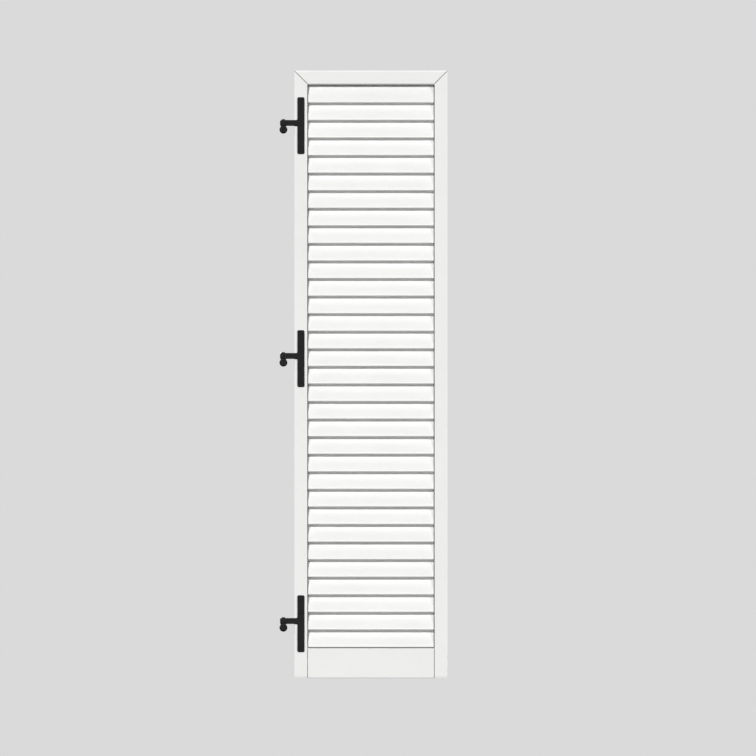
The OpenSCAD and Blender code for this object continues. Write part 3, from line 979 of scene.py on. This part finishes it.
strap_mesh = joined_or_cut(strap_mesh, "DIFFERENCE", [(countersink, spot) for spot in first_strap_screws])
upright = (0, 0, 0)
strap_spots = [(0, 0, z) for z in arm_heights]
strap_set = set_out("strap_set", strap_mesh, strap_spots, [upright] * len(strap_spots), black_coat)
finished("strap_set", strap_set, "leaf", black_coat, "black_powder_coat", *strap_nodes)

# ---- Strap screws and backing plates --------------------------------------
# Four countersunk socket screws hold each strap. They pass through the
# stile's front wall into a threaded steel plate that lies behind it.

screw_length = screw_high.y - screw_low.y
socket_flats = 0.004
socket_depth = 0.0022
socket_core = 0.0004
socket_edge = 0.0003
head_edge = 0.0002
screw_neck = 0.001
screw_point = 0.0009
thread_end_gap = 0.0012
thread_pitch = 0.001
thread_depth = 0.0004
groove_height = 1.25
flank_slope = 1.5


def flats(turn, across):
    """The radius at a turn of a hexagon that measures across from flat to flat."""
    sixth = math.radians(60)
    return across / 2 / math.cos((turn + sixth / 2) % sixth - sixth / 2)


def thread(turn, height, pitch, depth):
    """How deep a thread is cut below its crest, at a turn and a height. Crest and root are flat."""
    share = (height / pitch - turn / (2 * math.pi)) % 1
    return depth * min(1, max(0, groove_height - abs(share * 2 - 1) * flank_slope))


def screw_shape(turn, radius, height):
    """A socket screw: six flats inside the head, and a thread along the shank."""
    in_socket = radius < socket_flats / 2 + socket_edge / 2 and height <= socket_depth
    if in_socket:
        return flats(turn, socket_flats) * radius / (socket_flats / 2)
    if head_depth + screw_neck < height < screw_length - thread_end_gap:
        return radius - thread(turn, height, thread_pitch, thread_depth)
    return radius


screw_outline = [
    (socket_core, socket_depth),
    (socket_flats / 2, socket_depth - socket_edge),
    (socket_flats / 2, head_edge),
    (socket_flats / 2 + socket_edge, 0),
    (screw_head_radius - head_edge, 0),
    (screw_head_radius, head_edge),
    (screw_radius, head_depth),
]
rows = 10
row = thread_pitch / rows
screw_tip_step = 0.0001
first_row = math.ceil((head_depth + screw_neck) / row)
last_row = math.floor((screw_length - thread_end_gap) / row)
screw_outline += [(screw_radius, i * row) for i in range(first_row, last_row + 1)]
screw_outline += [
    (screw_radius - screw_tip_step, screw_length - screw_point),
    (screw_radius - screw_point, screw_length),
]
screw_pattern = turned(screw_outline, segments=36, shape=screw_shape)
facing_wall = (math.radians(-90), 0, 0)
screw_turns = [facing_wall] * len(screw_spots)
screw_set = set_out("strap_screw_set", screw_pattern, screw_spots, screw_turns, black_coat)
finished("strap_screw_set", screw_set, "leaf", black_coat, "black_powder_coat", "strap_screws", sharp=28)
for node in ("bottom_backing_plate", "middle_backing_plate", "top_backing_plate"):
    dressed(node, zinc_plate)

# ---- Eye bushes -----------------------------------------------------------
# A flanged nylon bush is pressed up into each eye. It turns on the pintle's
# pin, and its flange carries the leaf on the pintle's shoulder.

bush_solids = solids_of("eye_bushes")
bush_low, bush_high = bush_solids[0]
bush_height = bush_high.z - bush_low.z
flange_radius = (bush_high.x - bush_low.x) / 2
flange_t = bush_height - arm_h
bush_radius = 0.0075
bush_bore = 0.00606
bore_edge = 0.0005
flange_under_edge = 0.0006
flange_top_edge = 0.0004
bush_top_edge = 0.0003
bush_outline = eased(
    [
        (bush_bore, 0, bore_edge),
        (flange_radius, 0, flange_under_edge),
        (flange_radius, flange_t, flange_top_edge),
        (bush_radius, flange_t, 0),
        (bush_radius, bush_height, bush_top_edge),
        (bush_bore, bush_height, bore_edge),
    ],
    steps=3,
)
bush_pattern = turned(bush_outline, bored=True, segments=56)
bush_spots = [(axis.x, axis.y, low.z) for low, high in bush_solids]
bush_set = set_out("eye_bush_set", bush_pattern, bush_spots, [upright] * len(bush_spots), black_nylon)
finished("eye_bush_set", bush_set, "leaf", black_nylon, "black_nylon", "eye_bushes")

# ---- Pintles --------------------------------------------------------------
# Each pintle is a steel pin upright on a turned boss, welded to a threaded
# rod that is set in the wall. One black coat covers all of it, thread included.

pintle_nodes = ("bottom_pintle", "middle_pintle", "top_pintle")
pintle_low, pintle_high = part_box(pintle_nodes[0])
boss_radius = axis.y - pintle_low.y
boss_drop = 0.011
boss_top = 0.011
boss_edge = 0.003
pin_r = 0.006
pin_top = pintle_high.z - pintle_low.z - boss_drop
shank_r = 0.007
tail_r = 0.0065
tail_end = pintle_high.y - axis.y
wall_face = -axis.y
rod_pitch = 0.002
rod_depth = 0.0007
plain_neck = 0.0015
plain_tip = 0.002
thread_start = boss_radius + plain_neck
thread_end = tail_end - plain_tip
pintle_core = 0.0008
shoulder_edge = 0.0008
pin_root = 0.0004
pin_chamfer = 0.0015
chamfer_foot_edge = 0.0008
chamfer_head_edge = 0.0006

pin_body = turned(
    eased(
        [
            (pintle_core, -boss_drop, 0),
            (boss_radius, -boss_drop, boss_edge),
            (boss_radius, boss_top, shoulder_edge),
            (pin_r + pin_root, boss_top, 0),
            (pin_r, boss_top + pin_root, 0),
            (pin_r, pin_top - pin_chamfer, chamfer_foot_edge),
            (pin_r - pin_chamfer, pin_top, chamfer_head_edge),
            (pintle_core, pin_top, 0),
        ]
    ),
    segments=48,
)
runout_near_boss = 0.002
runout_near_tip = 0.001


def rod_shape(turn, radius, height):
    """The rod's thread, which runs out before the boss and before the tip."""
    if thread_start < height < thread_end:
        grown_in = (height - thread_start) / runout_near_boss
        grown_out = (thread_end - height) / runout_near_tip
        return radius - thread(turn, height, rod_pitch, rod_depth) * min(1, grown_in, grown_out)
    return radius


rod_rows = 8
rod_step = rod_pitch / rod_rows
rod_chamfer = 0.0015
rod_outline = [(shank_r, 0), (shank_r, thread_start)]
for i in range(math.ceil(thread_start / rod_step) + 1, math.floor(thread_end / rod_step)):
    rod_outline.append((shank_r if i * rod_step <= wall_face else tail_r, i * rod_step))
rod_outline += [(tail_r, thread_end), (tail_r, tail_end - rod_chamfer), (tail_r - rod_chamfer, tail_end)]
rod_body = turned(rod_outline, segments=36, shape=rod_shape)
pintle_mesh = joined_or_cut(pin_body, "UNION", [(rod_body, along_y)])
shank_heights = [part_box(node)[0].z + boss_drop for node in pintle_nodes]
pintle_spots = [(axis.x, axis.y, z) for z in shank_heights]
pintle_turns = [upright] * len(pintle_spots)
pintle_set = set_out("pintle_set", pintle_mesh, pintle_spots, pintle_turns, black_coat)
finished("pintle_set", pintle_set, "pintles", black_coat, "black_powder_coat", *pintle_nodes)

# ---- Wall nuts and washers ------------------------------------------------
# A black-coated hexagon nut on each rod clamps a washer against the wall, so
# that the rod can't work loose.

nut_low, nut_high = solids_of("wall_nuts")[0]
nut_t = nut_high.y - nut_low.y
nut_flats = 0.022
nut_bore = 0.00703
nut_corner = nut_flats / 2 / math.cos(math.radians(30))
nut_chamfer = 0.0018
nut_lead = 0.0008
chamfer_steps = 5
face_radius = nut_flats * 0.475
flats_from = nut_flats * 0.45
corner_slack = 0.0001


def nut_shape(turn, radius, height):
    """The nut's six flats, cut back at both faces by a turned chamfer."""
    return min(radius, flats(turn, nut_flats)) if radius > flats_from else radius


chamfer_rows = []
for step in range(chamfer_steps + 1):
    share = step / chamfer_steps
    row_radius = face_radius + (nut_corner + corner_slack - face_radius) * share
    chamfer_rows.append((row_radius, nut_chamfer * share))
nut_outline = [(nut_bore, nut_lead), (nut_bore + nut_lead, 0)] + chamfer_rows
nut_outline += [(r, nut_t - h) for r, h in reversed(chamfer_rows)]
nut_outline += [(nut_bore + nut_lead, nut_t), (nut_bore, nut_t - nut_lead)]
nut_pattern = turned(nut_outline, bored=True, segments=72, shape=nut_shape)
nut_spots = [(axis.x, nut_low.y, z) for z in shank_heights]
wall_turns = [facing_wall] * len(nut_spots)
nut_set = set_out("wall_nut_set", nut_pattern, nut_spots, wall_turns, black_coat)
finished("wall_nut_set", nut_set, "pintles", black_coat, "black_powder_coat", "wall_nuts", sharp=25)

washer_low, washer_high = solids_of("wall_washers")[0]
washer_t = washer_high.y - washer_low.y
washer_radius = (washer_high.x - washer_low.x) / 2
washer_bore = 0.0073
washer_bore_edge = 0.0004
washer_rim_edge = 0.0007
washer_back_edge = 0.0003
washer_outline = eased(
    [
        (washer_bore, 0, washer_bore_edge),
        (washer_radius, 0, washer_rim_edge),
        (washer_radius, washer_t, washer_back_edge),
        (washer_bore, washer_t, washer_back_edge),
    ],
    steps=3,
)
washer_pattern = turned(washer_outline, bored=True, segments=64)
washer_spots = [(axis.x, washer_low.y, z) for z in shank_heights]
washer_set = set_out("wall_washer_set", washer_pattern, washer_spots, wall_turns, black_coat)
finished("wall_washer_set", washer_set, "pintles", black_coat, "black_powder_coat", "wall_washers")
